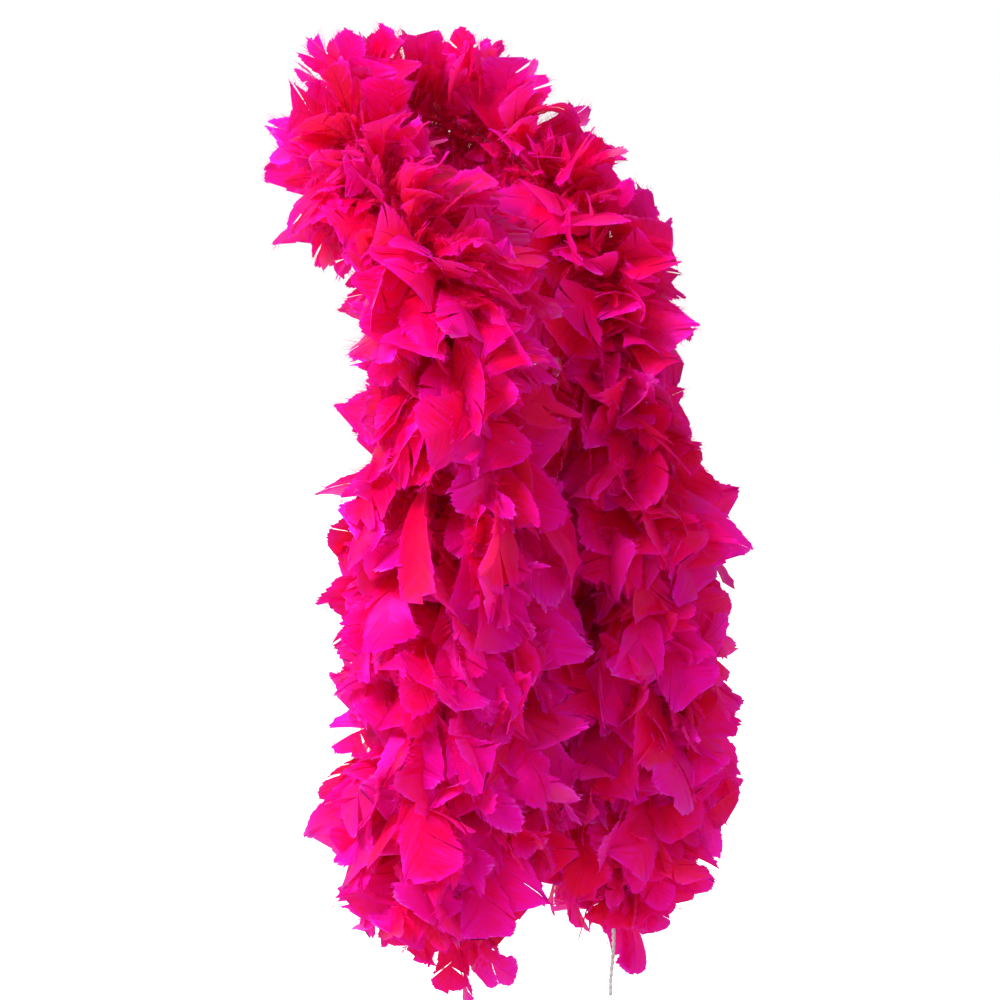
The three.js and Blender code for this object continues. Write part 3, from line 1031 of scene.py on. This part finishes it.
def make_fray(side, end):
    """Single fibres that spread from the string's cut end."""
    fibres = []
    for _ in range(16):
        spread = rng.normal(0, 0.0011, 3)
        reach_down = rng.uniform(0.003, 0.007)
        t = np.linspace(0, 1, 5)[:, None]
        start = end + np.array([*(0.6 * spread[:2]), 0.001])
        line = start + t * np.array([0, 0, -reach_down]) + t ** 2 * np.array([*(1.6 * spread[:2]), 0])
        fibres.append(tube(line, 0.00016 * (1.1 - t[:, 0]), 4))
    piece = join_tubes(f"tail_fray_{side}", fibres, COTTON)
    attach(piece, f"{side}_lower")
    return piece


# ---- Ruffs -----------------------------------------------------------------------------

# How each kind is made, its pitch along the string, and how far from the ends it stays.
FEATHER_LAYERS = [
    (make_flats, 0.00108, 0.004),
    (make_inner, 0.0016, 0.006),
    (make_plumes, 0.0042, 0.010),
    (make_tips, 0.0055, 0.004),
]
SCATTER = 0.3            # of the pitch


def feather_places(pitch, inset):
    """Distances along the route, a pitch apart with some scatter, and their numbers."""
    count = int((ROUTE.length - 2 * inset) / pitch)
    even = np.linspace(inset, ROUTE.length - inset, count)
    s = even + rng.normal(0, SCATTER * pitch, count)
    return s, np.arange(count)


def move_with(piece, node, body, s):
    """A ruff beside a pivot has its transform baked into its mesh; the others ride on their own length
    of string.
    """
    if body == "neck_loop":
        if min(s, ROUTE.length - s) - FALL_LENGTH < RUFF_PITCH:
            bend_across(piece)
        else:
            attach(piece, body)
        return
    side, part = body.split("_")
    number = int(node[-1])
    if number == 1:
        bend_across(piece)
    elif number == 3 and part != "lower":
        bend_across(piece)
    else:
        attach(piece, body)


def make_ruffs():
    """Shares the feathers out to the ruffs, each feather to the ruff that it is nearest to."""
    places = ruff_places()
    centres = np.array([p[2] for p in places])
    layers = [(make, *feather_places(pitch, inset)) for make, pitch, inset in FEATHER_LAYERS]
    for index, (node, body, at) in enumerate(places):
        sheaf = Sheaf()
        for make, s, number in layers:
            mine = np.abs(s[:, None] - centres).argmin(1) == index
            make(sheaf, s[mine], number[mine])
        piece = add_object(node.replace("ruff", "feathers"), sheaf.mesh(node), FEATHER)
        move_with(piece, node, body, at)
        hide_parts(node)


# ---- Stage and light -------------------------------------------------------------------

def white_to_camera(tree, shed, seen):
    """A strength that the camera sees as `seen`, and everything else as `shed`."""
    path = tree.nodes.new("ShaderNodeLightPath")
    strength = tree.nodes.new("ShaderNodeMapRange")
    strength.inputs["To Min"].default_value = shed
    strength.inputs["To Max"].default_value = seen
    tree.links.new(path.outputs["Is Camera Ray"], strength.inputs["Value"])
    return strength.outputs["Result"]


def make_floor(size=14.0, z=-1.42):
    mesh = bpy.data.meshes.new("floor")
    corners = [(-size, -size, z), (size, -size, z), (size, size, z), (-size, size, z)]
    mesh.from_pydata(corners, [], [(0, 1, 2, 3)])
    n = Nodes("pale_floor")
    shader = n.add("ShaderNodeBsdfPrincipled")
    shader.inputs["Base Color"].default_value = (0.90, 0.90, 0.90, 1)
    shader.inputs["Roughness"].default_value = 0.9
    shader.inputs["Emission Color"].default_value = (1, 1, 1, 1)
    n.link(white_to_camera(n.tree, shed=0.20, seen=0.95), shader.inputs["Emission Strength"])
    add_object("floor", mesh, n.surface(shader))


LIT_POINT = (0, -0.1, -0.4)


def add_area_light(name, azimuth, elevation, distance, size, power, color=(1, 1, 1)):
    data = bpy.data.lights.new(name, "AREA")
    data.size = size
    data.energy = power
    data.color = color
    add_facing(name, data, azimuth, elevation, distance, LIT_POINT)


def make_world():
    world = bpy.data.worlds.new("studio")
    world.use_nodes = True
    tree = world.node_tree
    tree.nodes.clear()
    background = tree.nodes.new("ShaderNodeBackground")
    background.inputs["Color"].default_value = (1, 1, 1, 1)
    tree.links.new(white_to_camera(tree, shed=0.46, seen=1.0), background.inputs["Strength"])
    output = tree.nodes.new("ShaderNodeOutputWorld")
    tree.links.new(background.outputs[0], output.inputs["Surface"])
    bpy.context.scene.world = world


def make_light():
    make_world()
    add_area_light("key", azimuth=-90, elevation=42, distance=3.0, size=1.2, power=138,
                   color=(1, 0.96, 1.15))
    add_area_light("fill", azimuth=10, elevation=25, distance=4.0, size=2.5, power=20)
    add_area_light("back", azimuth=150, elevation=20, distance=4.0, size=3.0, power=40)
    view = bpy.context.scene.view_settings
    view.view_transform = "Standard"
    view.look = "None"


make_strings()
for side_name in SIDES:
    make_knot(side_name)
    make_binding(side_name)
    make_tail(side_name)
make_ruffs()
make_floor()
make_light()
